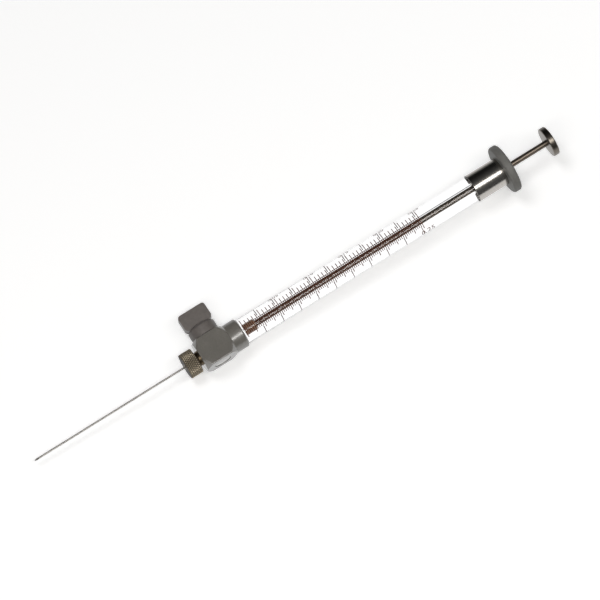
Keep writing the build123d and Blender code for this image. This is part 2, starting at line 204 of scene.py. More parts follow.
air = add(tree, "ShaderNodeBackground", {"Color": linear("#ffffff"), "Strength": level})
add(tree, "ShaderNodeOutputWorld", {"Surface": air})

# --- Needle's tube ------------------------------------------------------------------------------
# Thin stainless tube, drawn through dies, with a bevel ground on its tip that opens upwards. Its
# tapered root is brazed into the hub. Sizes are in mm from here on.


def new_finish(name):
    """A material with one Principled shader: gives the material, its tree and the shader."""
    material = bpy.data.materials.new(name)
    material.use_nodes = True
    tree = material.node_tree
    tree.nodes.clear()
    shader = add(tree, "ShaderNodeBsdfPrincipled")
    add(tree, "ShaderNodeOutputMaterial", {"Surface": shader})
    return material, tree, shader


def skin(name, rings, closed=True, material=None, sharp=35):
    """A mesh piece through rings of points in mm; a ring of one point is a pole on the axis."""
    work = bmesh.new()
    rows = [[work.verts.new(Vector(p) * mm) for p in ring] for ring in rings]
    for low, high in zip(rows, rows[1:] + rows[:1] if closed else rows[1:]):
        count = max(len(low), len(high))
        for i in range(count if count > 1 else 0):
            j = (i + 1) % count
            if len(low) == 1:
                work.faces.new((low[0], high[j], high[i]))
            elif len(high) == 1:
                work.faces.new((low[i], low[j], high[0]))
            else:
                work.faces.new((low[i], low[j], high[j], high[i]))
    bmesh.ops.recalc_face_normals(work, faces=work.faces)
    mesh = bpy.data.meshes.new(name)
    work.to_mesh(mesh)
    work.free()
    mesh.polygons.foreach_set("use_smooth", [True] * len(mesh.polygons))
    mesh.set_sharp_from_angle(angle=math.radians(sharp))
    if material:
        mesh.materials.append(material)
    piece = bpy.data.objects.new(name, mesh)
    bpy.context.scene.collection.objects.link(piece)
    return piece


def circle(x, radius, steps):
    """A ring of points round the barrel's axis; on the axis it is one point."""
    if radius == 0:
        return [(x, 0, 0)]
    turn = [2 * math.pi * i / steps for i in range(steps)]
    return [(x, radius * math.cos(a), radius * math.sin(a)) for a in turn]


cannula_r, cannula_bore_r, cannula_root_r, cannula_steps = 0.255, 0.13, 0.23, 40
needle_length, root_length, bevel_angle = 50.8, 1.7, 18
bevel_run = 2 * cannula_r / math.tan(math.radians(bevel_angle))


def bevelled(radius):
    """A ring of the tube's tip, on the bevel's slanted plane."""
    return [
        (-needle_length + (z + cannula_r) / (2 * cannula_r) * bevel_run, y, z)
        for x, y, z in circle(0, radius, cannula_steps)
    ]


# Stainless steel, drawn: bright but streaked along the tube by the die, so it looks grey. Here and
# below, a pattern's scale says how many of its marks go to the millimetre along each axis.
drawn_steel, tree, shader = new_finish("stainless steel, drawn")
place = add(tree, "ShaderNodeTexCoord").outputs["Object"]
along = add(tree, "ShaderNodeMapping", {"Vector": place, "Scale": Vector((0.06, 9, 9)) / mm})
streaks = add(tree, "ShaderNodeTexNoise", {"Vector": along, "Scale": 1.0, "Detail": 3.0})
tone = add(tree, "ShaderNodeMix", {0: streaks, 6: linear("#7f7b77"), 7: linear("#a6a29d")},
           data_type="RGBA")
polish = add(tree, "ShaderNodeMapRange", {"Value": streaks, "To Min": 0.22, "To Max": 0.38})
wire(shader, {"Base Color": tone.outputs[2], "Roughness": polish, "Metallic": 1.0})

cannula = skin("cannula", [
    bevelled(cannula_r),
    circle(0, cannula_r, cannula_steps),
    circle(root_length, cannula_root_r, cannula_steps),
    circle(root_length, cannula_bore_r, cannula_steps),
    bevelled(cannula_bore_r),
], material=drawn_steel)
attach(cannula, "needle")
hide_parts("needle_cannula")

# --- Needle's hub -------------------------------------------------------------------------------
# Small flange turned from free-cutting brass. The tube is brazed into it, and the nut clamps it
# against the soft disc in the nose.


def dress(node, material):
    """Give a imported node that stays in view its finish."""
    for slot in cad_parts[node].material_slots:
        slot.material = material


# Brass, turned: fine rings left by the tool, 0.05 mm apart in truth and drawn 0.2 mm apart, as a
# wave has 3.2 rings to a mark.
turned_brass, tree, shader = new_finish("brass, turned")
place = add(tree, "ShaderNodeTexCoord").outputs["Object"]
rings = add(tree, "ShaderNodeTexWave", {
    "Vector": place, "Scale": 1.6 / mm, "Distortion": 1.5, "Detail": 1.0,
}, bands_direction="X").outputs[1]
tone = add(tree, "ShaderNodeMix", {0: rings, 6: linear("#8a7346"), 7: linear("#b39a63")},
           data_type="RGBA")
rise = add(tree, "ShaderNodeBump", {"Strength": 0.2, "Distance": 0.02 * mm, "Height": rings})
wire(shader, {"Base Color": tone.outputs[2], "Normal": rise, "Metallic": 1.0, "Roughness": 0.3})
dress("needle_hub", turned_brass)

# --- Needle's nut -------------------------------------------------------------------------------
# Cap nut turned from brass bar, with a diamond knurl rolled on it for the fingers, then nickel
# plated. It screws on the nose and holds the needle's hub there.

nut_length, nut_r, nut_chamfer, nut_wall = 3.9, 3.9, 0.2, 1.0
nut_face_r, nut_hole_r, nut_cavity_r, nut_mouth = 3.55, 0.8, 2.3, 0.2
knurl_teeth, knurl_depth, knurl_land, knurl_lead = 36, 0.22, 0.04, 1.179
knurl_rows, knurl_samples = 32, 12
nut_steps = knurl_teeth * knurl_samples


def tooth(u):
    """0 on a ridge and 1 in a groove, for a place counted in teeth."""
    return 1 - abs(2 * (u % 1) - 1)


def knurled(x):
    """A ring of the nut's outside: two crossed sets of slanting grooves, cut off by chamfers."""
    ring = []
    for i in range(nut_steps):
        u = i / knurl_samples
        cut = max(tooth(u + x / knurl_lead), tooth(u - x / knurl_lead))
        radius = min(nut_r, nut_r + knurl_land - (knurl_depth + knurl_land) * cut)
        radius = min(radius, nut_r - nut_chamfer + x, nut_r - nut_chamfer + nut_length - x)
        a = 2 * math.pi * u / knurl_teeth
        ring.append((x, radius * math.cos(a), radius * math.sin(a)))
    return ring


# Nickel plate over brass: warm grey, dull in the grooves and glossier along the ridges,
# where handling rubs it in patches. Its colour is painted: dark in the grooves as shade,
# bright along the ridges as highlight.
nickel, tree, shader = new_finish("nickel plate, handled, painted shade and light")
place = add(tree, "ShaderNodeTexCoord").outputs["Object"]
apart = add(tree, "ShaderNodeSeparateXYZ", {0: place}).outputs
flat = add(tree, "ShaderNodeCombineXYZ", {"Y": apart["Y"], "Z": apart["Z"]})
out = add(tree, "ShaderNodeVectorMath", {0: flat}, operation="LENGTH").outputs["Value"]
ridge = add(tree, "ShaderNodeMapRange", {
    "Value": out, "From Min": (nut_r - knurl_depth) * mm, "From Max": nut_r * mm,
})
grime = add(tree, "ShaderNodeTexNoise", {"Vector": place, "Scale": 1.5 / mm, "Detail": 4.0})
worn = add(tree, "ShaderNodeMath", {0: ridge, 1: grime}, operation="MULTIPLY")
# Painted shade in the grooves, painted highlight along the ridges.
tone = add(tree, "ShaderNodeMix", {0: ridge, 6: linear("#1f1811"), 7: linear("#c6b9a2")},
           data_type="RGBA")
polish = add(tree, "ShaderNodeMapRange", {"Value": worn, "To Min": 0.55, "To Max": 0.35})
wire(shader, {"Base Color": tone.outputs[2], "Roughness": polish, "Metallic": 0.75})

nut = skin("knurled_nut", [
    circle(nut_wall, nut_cavity_r, nut_steps),
    circle(nut_wall, nut_hole_r, nut_steps),
    circle(0, nut_hole_r, nut_steps),
    circle(0, nut_face_r, nut_steps),
    *[knurled(nut_length * row / knurl_rows) for row in range(knurl_rows + 1)],
    circle(nut_length, nut_face_r, nut_steps),
    circle(nut_length, nut_cavity_r + nut_mouth, nut_steps),
    circle(nut_length - nut_mouth, nut_cavity_r, nut_steps),
], material=nickel, sharp=28)
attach(nut, "nut")
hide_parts("needle_nut")

# --- Nose ---------------------------------------------------------------------------------------
# Threaded stub turned from brass and screwed into the front of the valve's body. The nut pulls
# the needle's hub against it.

nose_front_x, nose_end_x, nose_r, nose_shank_r, nose_rear_x = 1.8, 5.0, 2.25, 2.0, 7.0
nose_recess_r, nose_recess_x, nose_hole_r = 1.52, 2.6, 0.4
thread_pitch, thread_depth, thread_end_x, thread_fade, thread_crest = 0.5, 0.27, 4.55, 0.25, 0.12
nose_chamfer, nose_rows, nose_steps = 0.2, 64, 96


def threaded(x):
    """A ring of the nose, with a right-handed thread that fades out behind the nut's mouth."""
    ring = []
    fade = min(max((thread_end_x - x) / thread_fade, 0), 1)
    for i in range(nose_steps):
        flank = max(tooth(x / thread_pitch - i / nose_steps) - thread_crest, 0)
        depth = thread_depth * fade * flank / (1 - thread_crest)
        radius = min(nose_r - depth, nose_r - nose_chamfer + (x - nose_front_x))
        a = 2 * math.pi * i / nose_steps
        ring.append((x, radius * math.cos(a), radius * math.sin(a)))
    return ring


# Brass darkened by age and oil: brown, with a dull shine on the thread's crests.
aged_brass, tree, shader = new_finish("brass, aged dark")
place = add(tree, "ShaderNodeTexCoord").outputs["Object"]
stain = add(tree, "ShaderNodeTexNoise", {"Vector": place, "Scale": 0.9 / mm, "Detail": 5.0})
tone = add(tree, "ShaderNodeMix", {0: stain, 6: linear("#4f4436"), 7: linear("#94836b")},
           data_type="RGBA")
wire(shader, {"Base Color": tone.outputs[2], "Metallic": 1.0, "Roughness": 0.38})

nose_run = nose_end_x - nose_front_x
nose = skin("threaded_stub", [
    *[threaded(nose_front_x + nose_run * row / nose_rows) for row in range(nose_rows + 1)],
    circle(nose_end_x, nose_shank_r, nose_steps),
    circle(nose_rear_x, nose_shank_r, nose_steps),
    circle(nose_rear_x, nose_hole_r, nose_steps),
    circle(nose_recess_x, nose_hole_r, nose_steps),
    circle(nose_recess_x, nose_recess_r, nose_steps),
    circle(nose_front_x, nose_recess_r, nose_steps),
], material=aged_brass)
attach(nose, "barrel")
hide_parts("threaded_nose")

# --- Soft seals ---------------------------------------------------------------------------------
# Disc, washers and the rotor's seat, turned from fluoropolymer bar and pressed into their places.
# A moulded rubber ring seals the stem.

# PTFE, turned: milky white and waxy, with light going a little way into it.
ptfe, tree, shader = new_finish("PTFE, turned")
place = add(tree, "ShaderNodeTexCoord").outputs["Object"]
cloud = add(tree, "ShaderNodeTexNoise", {"Vector": place, "Scale": 0.7 / mm, "Detail": 3.0})
tone = add(tree, "ShaderNodeMix", {0: cloud, 6: linear("#e6e4df"), 7: linear("#f4f3ef")},
           data_type="RGBA")
wire(shader, {"Base Color": tone.outputs[2], "Roughness": 0.45, "IOR": 1.35})
for node in ("needle_seal", "valve_seat", "front_seal", "rear_washer"):
    dress(node, ptfe)

# Fluoroelastomer, moulded: black and matt with a fine bloom.
rubber, tree, shader = new_finish("fluoroelastomer, moulded")
place = add(tree, "ShaderNodeTexCoord").outputs["Object"]
bloom = add(tree, "ShaderNodeTexNoise", {"Vector": place, "Scale": 2.5 / mm, "Detail": 4.0})
tone = add(tree, "ShaderNodeMix", {0: bloom, 6: linear("#161514"), 7: linear("#2a2827")},
           data_type="RGBA")
wire(shader, {"Base Color": tone.outputs[2], "Roughness": 0.6})
dress("stem_o_ring", rubber)

# --- Valve's body -------------------------------------------------------------------------------
# Square block of dark grey filled polymer, its two ends turned to a cone and the rear one carried
# on as a round collar for the glass. Holes along Y take the seat, the rotor and the end plug.

body_front_x, body_rear_x, body_half = 5.0, 15.2, 4.5
collar_rear_x, collar_round = 19.3, 0.6
socket_r, socket_floor_x, passage_r, valve_x = 3.875, 14.2, 0.4, 10.1
body_edge, edge_blend, cone_blend, row_pitch, row_count = 0.15, 0.1, 0.22, 0.06, 34
nose_hole_wall = nose_shank_r + 0.02


def nearer(a, b, blend):
    """The smaller of two radii, rounded off where they meet."""
    h = max(blend - abs(a - b), 0) / blend
    return min(a, b) - h * h * blend / 4


# Angles round the block in degrees, closest together at its corners, with one on each flat.
corner_steps = [0, 0.7, 1.4, 2.2, 3.2, 4.5, 6, 8] + [10 + 2.5 * k for k in range(14)]
body_turn = sorted(math.radians(angle) for angle in {
    *(45 + 90 * quarter + side * step
      for quarter in range(4) for side in (-1, 1) for step in corner_steps),
    *(90 * quarter for quarter in range(4)),
})


def body_ring(x):
    """A ring of the block: its square section, cut off by the cones turned on its two ends."""
    cone = body_half + min(x - body_front_x, body_rear_x - x)
    ring = []
    for a in body_turn:
        side = max(abs(math.cos(a)), abs(math.sin(a)))
        square = body_half / side
        edge = (2 * body_half - body_edge) / (abs(math.cos(a)) + abs(math.sin(a)))
        radius = nearer(nearer(square, edge, edge_blend), cone, cone_blend)
        ring.append((x, radius * math.cos(a), radius * math.sin(a)))
    return ring


def plain_ring(x, radius):
    """A round ring with its points at the same angles as the block's."""
    return [(x, radius * math.cos(a), radius * math.sin(a)) for a in body_turn]


body_rows = [body_front_x + row_pitch * i for i in range(row_count)]
body_rows += [body_rear_x - x + body_front_x for x in reversed(body_rows)]
collar_rows = [
    (collar_rear_x - collar_round + collar_round * math.sin(math.radians(a)),
     body_half - collar_round + collar_round * math.cos(math.radians(a)))
    for a in range(0, 91, 10)
]

# PEEK with filler, machined: even dark warm grey with a very fine grain. The milled flats are
# glossier than the turned collar.
milled_rough, turned_rough, grain_rough = 0.14, 0.27, 0.08
valve_grey, tree, shader = new_finish("filled PEEK, machined")
place = add(tree, "ShaderNodeTexCoord").outputs["Object"]
grain = add(tree, "ShaderNodeTexNoise", {"Vector": place, "Scale": 2.2 / mm, "Detail": 4.0})
cloud = add(tree, "ShaderNodeTexNoise", {"Vector": place, "Scale": 0.26 / mm, "Detail": 2.0})
blend = add(tree, "ShaderNodeMath", {0: grain, 1: cloud}, operation="MULTIPLY")
tone = add(tree, "ShaderNodeMix", {0: blend, 6: linear("#5a5752"), 7: linear("#75726c")},
           data_type="RGBA")
apart = add(tree, "ShaderNodeSeparateXYZ", {0: place}).outputs
turned_end = add(tree, "ShaderNodeMath", {0: apart["X"], 1: body_rear_x * mm},
                 operation="GREATER_THAN")
base = add(tree, "ShaderNodeMix", {0: turned_end, 2: milled_rough, 3: turned_rough})
polish = add(tree, "ShaderNodeMath", {0: grain, 1: grain_rough, 2: base}, operation="MULTIPLY_ADD")
rise = add(tree, "ShaderNodeBump", {"Strength": 0.05, "Distance": 0.02 * mm, "Height": grain})
wire(shader, {
    "Base Color": tone.outputs[2], "Roughness": polish, "Normal": rise, "IOR": 1.75,
    "Specular IOR Level": 0.85,
})

valve_block = skin("valve_block", [
    plain_ring(body_front_x, nose_hole_wall),
    *[body_ring(x) for x in body_rows],
    *[plain_ring(x, r) for x, r in collar_rows],
    plain_ring(collar_rear_x, socket_r),
    plain_ring(socket_floor_x, socket_r),
    plain_ring(socket_floor_x, passage_r),
    plain_ring(nose_rear_x, passage_r),
    plain_ring(nose_rear_x, nose_hole_wall),
], material=valve_grey, sharp=30)


def upright(name, outline, steps=64, closed=False, material=None, sharp=35):
    """A piece spun round the valve's axis from (height along Y, radius) points."""
    rings = [[(valve_x + z, x, y) for x, y, z in circle(h, r, steps)] for h, r in outline]
    return skin(name, rings, closed, material, sharp)


def settled(piece):
    """A plain mesh of what a piece's modifiers make of it."""
    view = bpy.context.evaluated_depsgraph_get()
    return bpy.data.meshes.new_from_object(piece.evaluated_get(view))


def combine(piece, tool, operation):
    """Cut a piece with a tool, or join the two, and remove the tool."""
    change = piece.modifiers.new("shape", "BOOLEAN")
    change.operation = operation
    change.solver = "EXACT"
    change.object = tool
    result = settled(piece)
    piece.modifiers.remove(change)
    spent = piece.data
    piece.data = result
    bpy.data.meshes.remove(spent)
    bpy.data.objects.remove(tool)


seat_r, bore_top_y, stem_hole_r, cutter_reach = 2.6, 2.6, 1.55, 5.5
bore_cutter = upright("bore_cutter", [
    (-cutter_reach, 0), (-cutter_reach, seat_r), (bore_top_y, seat_r),
    (bore_top_y, stem_hole_r), (cutter_reach, stem_hole_r), (cutter_reach, 0),
])
combine(valve_block, bore_cutter, "DIFFERENCE")
valve_block.data.set_sharp_from_angle(angle=math.radians(30))
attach(valve_block, "barrel")
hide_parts("valve_body")

# --- Rotor --------------------------------------------------------------------------------------
# Stainless spindle with a cross hole for the sample, ground round so that it turns tightly in its
# seat. A ground pin ties it to the handle.

# Stainless steel, ground: bright, with very fine rings round the spindle, drawn 0.13 mm apart.
ground_steel, tree, shader = new_finish("stainless steel, ground")
place = add(tree, "ShaderNodeTexCoord").outputs["Object"]
rings = add(tree, "ShaderNodeTexWave", {"Vector": place, "Scale": 2.4 / mm, "Distortion": 2.0},
            bands_direction="Y").outputs[1]
tone = add(tree, "ShaderNodeMix", {0: rings, 6: linear("#b4b1ac"), 7: linear("#c8c5c0")},
           data_type="RGBA")
wire(shader, {"Base Color": tone.outputs[2], "Metallic": 1.0, "Roughness": 0.2})
dress("valve_rotor", ground_steel)
dress("handle_pin", ground_steel)

# --- End plug -----------------------------------------------------------------------------------
# Round plug turned from the block's own polymer and pressed into its side to close the bore. It
# ends just below the surface.


def eased(outline, steps=5):
    """An outline of (along, radius, ease) points with each corner rounded off by its ease."""
    points = []
    for i, (x, r, ease) in enumerate(outline):
        corner = Vector((x, r))
        if ease == 0:
            points.append((x, r))
            continue
        back = (Vector(outline[i - 1][:2]) - corner).normalized()
        on = (Vector(outline[(i + 1) % len(outline)][:2]) - corner).normalized()
        half = back.angle(on) / 2
        centre = corner + (back + on).normalized() * ease / math.sin(half)
        start = corner + back * ease / math.tan(half) - centre
        swing = start.angle_signed(corner + on * ease / math.tan(half) - centre)
        for k in range(steps + 1):
            a = -swing * k / steps
            points.append((
                centre.x + start.x * math.cos(a) - start.y * math.sin(a),
                centre.y + start.x * math.sin(a) + start.y * math.cos(a),
            ))
    return points


# The same polymer faced with a sharp tool, smooth enough to mirror the table. Its colour is
# painted paler than the block's, as light on the plug's face.
plug_lit_grey, tree, shader = new_finish("filled PEEK, faced, painted lighter")
place = add(tree, "ShaderNodeTexCoord").outputs["Object"]
grain = add(tree, "ShaderNodeTexNoise", {"Vector": place, "Scale": 2.2 / mm, "Detail": 4.0})
# Painted light: a paler grey than the block that the plug is cut from.
tone = add(tree, "ShaderNodeMix", {0: grain, 6: linear("#8f8c88"), 7: linear("#a19e9a")},
           data_type="RGBA")
polish = add(tree, "ShaderNodeMapRange", {"Value": grain, "To Min": 0.07, "To Max": 0.13})
wire(shader, {
    "Base Color": tone.outputs[2], "Roughness": polish, "IOR": 1.75, "Specular IOR Level": 1.0,
})

plug_r, plug_land_r = 2.5, 2.58
plug_outer_y, plug_land_y, plug_inner_y = -4.4, -3.9, -2.95
end_plug = upright("end_plug", eased([
    (plug_inner_y, 0, 0), (plug_inner_y, plug_land_r, 0.03), (plug_land_y, plug_land_r, 0.03),
    (plug_land_y, plug_r, 0), (plug_outer_y, plug_r, 0.12), (plug_outer_y, 0, 0),
]), steps=96, material=plug_lit_grey)
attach(end_plug, "barrel")
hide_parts("valve_end_plug")

# --- Valve's handle -----------------------------------------------------------------------------
# Moulded in one piece: a round hub over the stem, chamfered on top, and a flat tab with rounded
# corners that a finger and thumb turn.

hub_r, hub_foot_y, hub_shoulder_y, hub_top_y, waist_half = 4.3, 4.6, 7.36, 8.1, 3.5
tab_half, tab_foot_y, tab_top_y, tab_sunk_y, tab_thickness = 4.45, 8.85, 13.25, 7.85, 4.0
tab_round, tab_edge, foot_ease = 0.8, 0.2, 0.1
stem_bore_r, stem_bore_end_y, pin_y, pin_hole_r, pin_reach = 1.51, 8.16, 6.0, 0.5, 6

# Acetal, moulded: dark brown-grey, smooth with a faint orange peel from the mould.
handle_grey, tree, shader = new_finish("acetal, moulded")
place = add(tree, "ShaderNodeTexCoord").outputs["Object"]
peel = add(tree, "ShaderNodeTexNoise", {"Vector": place, "Scale": 1.1 / mm, "Detail": 2.0})
tone = add(tree, "ShaderNodeMix", {0: peel, 6: linear("#524e4b"), 7: linear("#655f5c")},
           data_type="RGBA")
polish = add(tree, "ShaderNodeMapRange", {"Value": peel, "To Min": 0.34, "To Max": 0.46})
rise = add(tree, "ShaderNodeBump", {"Strength": 0.1, "Distance": 0.03 * mm, "Height": peel})
wire(shader, {"Base Color": tone.outputs[2], "Roughness": polish, "Normal": rise, "IOR": 1.48})

tab_outline = eased([
    (-waist_half, tab_sunk_y, 0), (-waist_half, hub_top_y, 0), (-tab_half, tab_foot_y, foot_ease),
    (-tab_half, tab_top_y, tab_round), (tab_half, tab_top_y, tab_round),
    (tab_half, tab_foot_y, foot_ease), (waist_half, hub_top_y, 0), (waist_half, tab_sunk_y, 0),
], steps=8)
work = bmesh.new()
faces = [
    [work.verts.new(Vector((valve_x + x, y, z)) * mm) for x, y in tab_outline]
    for z in (-tab_thickness / 2, tab_thickness / 2)
]
rims = [work.faces.new(points) for points in faces]
for i in range(len(tab_outline)):
    j = (i + 1) % len(tab_outline)
    work.faces.new((faces[0][i], faces[0][j], faces[1][j], faces[1][i]))
bmesh.ops.bevel(
    work, geom=[edge for rim in rims for edge in rim.edges], offset=tab_edge * mm, segments=3,
    profile=0.6, affect="EDGES",
)
bmesh.ops.recalc_face_normals(work, faces=work.faces)
tab_mesh = bpy.data.meshes.new("tab")
work.to_mesh(tab_mesh)
work.free()
tab = bpy.data.objects.new("tab", tab_mesh)
bpy.context.scene.collection.objects.link(tab)

handle = upright("handle", eased([
    (hub_foot_y, 0, 0), (hub_foot_y, hub_r, 0.12), (hub_shoulder_y, hub_r, 0.12),
    (hub_top_y, waist_half, 0.1), (hub_top_y, 0, 0),
]), steps=128, material=handle_grey)
combine(handle, tab, "UNION")
stem_cutter = upright("stem_cutter", [
    (hub_foot_y - 1, 0), (hub_foot_y - 1, stem_bore_r),
    (stem_bore_end_y, stem_bore_r), (stem_bore_end_y, 0),
])
combine(handle, stem_cutter, "DIFFERENCE")
pin_cutter = skin("pin_cutter", [
    [(valve_x + x, pin_y + y, z) for x, y, z in circle(end, radius, steps=32)]
    for end, radius in (
        (-pin_reach, 0), (-pin_reach, pin_hole_r), (pin_reach, pin_hole_r), (pin_reach, 0),
    )
], closed=False)
combine(handle, pin_cutter, "DIFFERENCE")
handle.data.polygons.foreach_set("use_smooth", [True] * len(handle.data.polygons))
handle.data.set_sharp_from_angle(angle=math.radians(30))
handle.data.materials.clear()
handle.data.materials.append(handle_grey)
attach(handle, "valve")
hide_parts("valve_handle")

# --- Glass barrel -------------------------------------------------------------------------------
# Thick borosilicate tube with a precision bore, ground and fire polished at its ends. It sits in
# the collar's socket between two soft washers.

glass_r, bore_r, glass_front_x, glass_rear_x, zero_x = 3.85, 1.15, 15.2, 107.5, 20.0

# Borosilicate glass: clear and colourless. It lets part of the lamps' light through to the table.
glass, tree, shader = new_finish("borosilicate glass, drawn")
wire(shader, {
    "Base Color": linear("#ffffff"), "Roughness": 0.0, "IOR": 1.474, "Transmission Weight": 1.0,
})
path = add(tree, "ShaderNodeLightPath").outputs
clear = add(tree, "ShaderNodeBsdfTransparent", {"Color": linear("#c8c8c8")})
either = add(tree, "ShaderNodeMixShader", {0: path["Is Shadow Ray"], 1: shader, 2: clear})
wire(tree.nodes["Material Output"], {"Surface": either})


def turned(name, outline, steps=128, closed=True, material=None, sharp=35):
    """A piece spun round the barrel's axis from (along X, radius) points."""
    return skin(name, [circle(x, r, steps) for x, r in outline], closed, material, sharp)


tube = turned("glass_tube", eased([
    (glass_front_x, passage_r, 0), (glass_front_x, glass_r, 0.15), (glass_rear_x, glass_r, 0.15),
    (glass_rear_x, bore_r, 0.1), (zero_x, bore_r, 0), (zero_x, passage_r, 0),
]), steps=256, material=glass)
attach(tube, "barrel")
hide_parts("glass_barrel")

# --- Graduations --------------------------------------------------------------------------------
# Lines and figures printed in ceramic ink and fired into the glass: one line for each 2.5
# microlitres, longer ones at 5, 12.5 and 25. Those at 25 are repeated behind the bore.

scale_angle, line_width, film, film_depth = 12.0, 0.23, 0.02, 0.01
division_pitch, division_count, division_ml = 0.6, 101, 0.0025
film_middle_r, film_total = glass_r + (film - film_depth) / 2, film + film_depth

# Ceramic ink, fired: dark brown and glossy, thin enough to be uneven.
enamel, tree, shader = new_finish("ceramic ink, fired")
place = add(tree, "ShaderNodeTexCoord").outputs["Object"]
speck = add(tree, "ShaderNodeTexNoise", {"Vector": place, "Scale": 4 / mm, "Detail": 3.0})
tone = add(tree, "ShaderNodeMix", {0: speck, 6: linear("#45210f"), 7: linear("#653321")},
           data_type="RGBA")
wire(shader, {"Base Color": tone.outputs[2], "Roughness": 0.12})

lines = bpy.data.node_groups.new("scale_lines", "GeometryNodeTree")
for label, kind in (
    ("Count", "Int"), ("Pitch", "Float"), ("First", "Float"), ("Radius", "Float"),
    ("Start", "Float"), ("Sweep", "Float"), ("Line Width", "Float"), ("Film", "Float"),
    ("Ink", "Material"),
):
    lines.interface.new_socket(label, in_out="INPUT", socket_type="NodeSocket" + kind)
lines.interface.new_socket("Lines", in_out="OUTPUT", socket_type="NodeSocketGeometry")
given = add(lines, "NodeGroupInput").outputs
arc = add(lines, "GeometryNodeCurveArc", {
    "Resolution": 24, "Radius": given["Radius"], "Start Angle": given["Start"],
    "Sweep Angle": given["Sweep"],
}, mode="RADIUS")
section = add(lines, "GeometryNodeCurvePrimitiveQuadrilateral", {
    "Width": given["Film"], "Height": given["Line Width"],
}, mode="RECTANGLE")
flat = add(lines, "GeometryNodeCurveToMesh", {"Curve": arc, "Profile Curve": section,
                                              "Fill Caps": True})
one = add(lines, "GeometryNodeTransform", {"Geometry": flat, "Rotation": (0, math.pi / 2, 0)})
step = add(lines, "ShaderNodeCombineXYZ", {"X": given["Pitch"]})
first = add(lines, "ShaderNodeCombineXYZ", {"X": given["First"]})
row = add(lines, "GeometryNodeMeshLine", {
    "Count": given["Count"], "Start Location": first, "Offset": step,
}, mode="OFFSET")
spread = add(lines, "GeometryNodeInstanceOnPoints", {"Points": row, "Instance": one})
real = add(lines, "GeometryNodeRealizeInstances", {0: spread})
inked = add(lines, "GeometryNodeSetMaterial", {"Geometry": real, "Material": given["Ink"]})
add(lines, "NodeGroupOutput", {0: inked})
sockets = {
    item.name: item.identifier for item in lines.interface.items_tree if item.in_out == "INPUT"
}

# A row of lines for each length: one line to so many divisions, from one angle to another in
# degrees from the scale's middle line, counted towards the end plug's side.
scale_parts = bmesh.new()
for every, start, end in (
    (1, -22, 25), (2, -42, -22), (5, 25, 37), (10, -56, -42), (10, 155, 205),
):
    blank = bpy.data.objects.new("lines", bpy.data.meshes.new("lines"))
    bpy.context.scene.collection.objects.link(blank)
    grow = blank.modifiers.new("lines", "NODES")
    grow.node_group = lines
    for label, value in (
        ("Count", (division_count - 1) // every + 1), ("Pitch", every * division_pitch * mm),
        ("First", zero_x * mm), ("Radius", film_middle_r * mm),
        ("Start", math.radians(180 + scale_angle + start)), ("Sweep", math.radians(end - start)),
        ("Line Width", line_width * mm), ("Film", film_total * mm), ("Ink", enamel),
    ):
        grow[sockets[label]] = value
    shape = settled(blank)
    blank.modifiers.remove(grow)
    scale_parts.from_mesh(shape)
    bpy.data.objects.remove(blank)
    bpy.data.meshes.remove(shape)

# The figures, in millilitres, stand beside every twentieth line on the handle's side. The last one
# stands again, larger, past the scale's end on the end plug's side. Each has its division, words,
# size and angle from the scale's middle line, and is sliced in strips to bend round the glass.
figure_size, figure_angle, strip_height, strip_reach = 2.05, -70, 0.15, 7
figures = [
    (mark, f"{mark * division_ml:.2f}", figure_size, figure_angle) for mark in range(20, 101, 20)
]
for mark, words, size, angle in figures + [(101.5, "0.25", 2.7, 62)]:
    text = bpy.data.curves.new("figures", "FONT")
    text.body = words
    text.align_x = "CENTER"
    text.align_y = "CENTER"
    text.size = size
    text.extrude = film_total / 2
    holder = bpy.data.objects.new("figures", text)
    bpy.context.scene.collection.objects.link(holder)
    bpy.context.view_layer.update()
    shape = settled(holder)
    work = bmesh.new()
    work.from_mesh(shape)
    for k in range(-strip_reach, strip_reach + 1):
        bmesh.ops.bisect_plane(work, geom=work.verts[:] + work.edges[:] + work.faces[:],
                               plane_co=(0, k * strip_height, 0), plane_no=(0, 1, 0))
    for point in work.verts:
        radius = film_middle_r + point.co.z
        a = math.radians(scale_angle + angle) - point.co.y / glass_r
        point.co = Vector((zero_x + mark * division_pitch + point.co.x,
                           -radius * math.sin(a), radius * math.cos(a))) * mm
    work.to_mesh(shape)
    work.free()
    scale_parts.from_mesh(shape)
    bpy.data.objects.remove(holder)
    bpy.data.meshes.remove(shape)

scale_mesh = bpy.data.meshes.new("scale")
scale_parts.to_mesh(scale_mesh)
scale_parts.free()
scale_mesh.materials.clear()
scale_mesh.materials.append(enamel)
scale_mesh.polygons.foreach_set("material_index", [0] * len(scale_mesh.polygons))
scale = bpy.data.objects.new("scale", scale_mesh)
bpy.context.scene.collection.objects.link(scale)
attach(scale, "barrel")
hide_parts("graduation_marks")

# --- Flange's sleeve ----------------------------------------------------------------------------
# Stainless tube, turned and polished, and cemented over the rear of the glass. A thinner spigot
# behind it takes the flange.

sleeve_front_x, flange_front_x, sleeve_r, spigot_r, spigot_rear_x = 98.4, 108.4, 4.3, 4.1, 110.0
parted_depth = 0.12

# Stainless steel, polished: a clear dark mirror with hairlines round the tube left by the buff.
polished_steel, tree, shader = new_finish("stainless steel, polished")
place = add(tree, "ShaderNodeTexCoord").outputs["Object"]
along = add(tree, "ShaderNodeMapping", {"Vector": place, "Scale": Vector((9, 0.12, 0.12)) / mm})
hairs = add(tree, "ShaderNodeTexNoise", {"Vector": along, "Scale": 1.0, "Detail": 4.0})
tone = add(tree, "ShaderNodeMix", {0: hairs, 6: linear("#aca8a3"), 7: linear("#bdb9b4")},
           data_type="RGBA")
polish = add(tree, "ShaderNodeMapRange", {"Value": hairs, "To Min": 0.18, "To Max": 0.26})
wire(shader, {"Base Color": tone.outputs[2], "Roughness": polish, "Metallic": 1.0})

